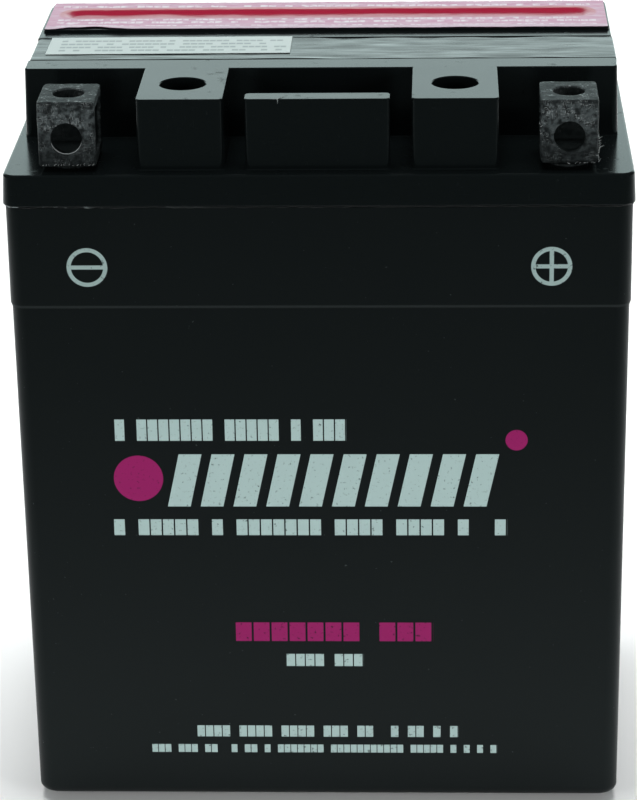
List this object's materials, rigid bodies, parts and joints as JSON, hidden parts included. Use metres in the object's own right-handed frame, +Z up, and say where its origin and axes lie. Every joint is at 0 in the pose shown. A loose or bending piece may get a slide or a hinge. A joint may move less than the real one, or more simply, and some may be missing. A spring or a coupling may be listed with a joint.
{
  "type": "motorcycle battery",
  "caption": "Sealed black box battery with square lead terminals on a front ledge, a raised vent block, a foil filler strip and plate cells inside.",
  "frame": {"origin": "centre of the underside, on the surface it stands on", "axes": "+Z up through the cover, +X towards the positive terminal, -Y towards the front with the terminals"},
  "size_m": [0.134, 0.089, 0.166],
  "materials": {
    "case": "moulded black plastic with a slight sheen and fine scuffs",
    "vent_cover": "glossy black plastic, slightly wavy",
    "foil": "printed crimson foil strip",
    "sticker": "pale grey paper sticker",
    "cast_lead": "dull scratched cast lead",
    "plate_lead": "grey sponge lead on a cast grid",
    "positive_paste": "dark brown lead oxide paste on a cast grid",
    "glass_mat": "white absorbent glass mat",
    "rubber": "matte black rubber",
    "ceramic": "porous ceramic disc"
  },
  "bodies": {
    "body": {"container": "case", "cover": "case", "vent_cover": "vent_cover", "charge_label": "sticker", "flame_arrestor": "ceramic", "negative_terminal": "cast_lead", "negative_post": "cast_lead", "negative_post_seal": "rubber", "positive_terminal": "cast_lead", "positive_post": "cast_lead", "positive_post_seal": "rubber", "cell_1_positive_plates": "positive_paste", "cell_1_negative_plates": "plate_lead", "cell_1_separator": "glass_mat", "intercell_weld_1": "cast_lead", "cell_2_positive_plates": "positive_paste", "cell_2_negative_plates": "plate_lead", "cell_2_separator": "glass_mat", "intercell_weld_2": "cast_lead", "cell_3_positive_plates": "positive_paste", "cell_3_negative_plates": "plate_lead", "cell_3_separator": "glass_mat", "intercell_weld_3": "cast_lead", "cell_4_positive_plates": "positive_paste", "cell_4_negative_plates": "plate_lead", "cell_4_separator": "glass_mat", "intercell_weld_4": "cast_lead", "cell_5_positive_plates": "positive_paste", "cell_5_negative_plates": "plate_lead", "cell_5_separator": "glass_mat", "intercell_weld_5": "cast_lead", "cell_6_positive_plates": "positive_paste", "cell_6_negative_plates": "plate_lead", "cell_6_separator": "glass_mat"},
    "safety_valve_1": {"safety_valve_1": "rubber"},
    "safety_valve_2": {"safety_valve_2": "rubber"},
    "safety_valve_3": {"safety_valve_3": "rubber"},
    "safety_valve_4": {"safety_valve_4": "rubber"},
    "safety_valve_5": {"safety_valve_5": "rubber"},
    "safety_valve_6": {"safety_valve_6": "rubber"},
    "filler_seal_strip": {"filler_seal_strip": "foil"}
  },
  "joints": [
    {"name": "safety_valve_1_lift", "type": "slide", "parent": "body", "child": "safety_valve_1", "axis": [0, 0, 1], "range_m": [0, 0.0008], "stiffness_N_per_m": 400},
    {"name": "safety_valve_2_lift", "type": "slide", "parent": "body", "child": "safety_valve_2", "axis": [0, 0, 1], "range_m": [0, 0.0008], "stiffness_N_per_m": 400},
    {"name": "safety_valve_3_lift", "type": "slide", "parent": "body", "child": "safety_valve_3", "axis": [0, 0, 1], "range_m": [0, 0.0008], "stiffness_N_per_m": 400},
    {"name": "safety_valve_4_lift", "type": "slide", "parent": "body", "child": "safety_valve_4", "axis": [0, 0, 1], "range_m": [0, 0.0008], "stiffness_N_per_m": 400},
    {"name": "safety_valve_5_lift", "type": "slide", "parent": "body", "child": "safety_valve_5", "axis": [0, 0, 1], "range_m": [0, 0.0008], "stiffness_N_per_m": 400},
    {"name": "safety_valve_6_lift", "type": "slide", "parent": "body", "child": "safety_valve_6", "axis": [0, 0, 1], "range_m": [0, 0.0008], "stiffness_N_per_m": 400},
    {"name": "filler_strip_lift", "type": "slide", "parent": "body", "child": "filler_seal_strip", "axis": [0, 0, 1], "range_m": [0, 0.03]}
  ]
}
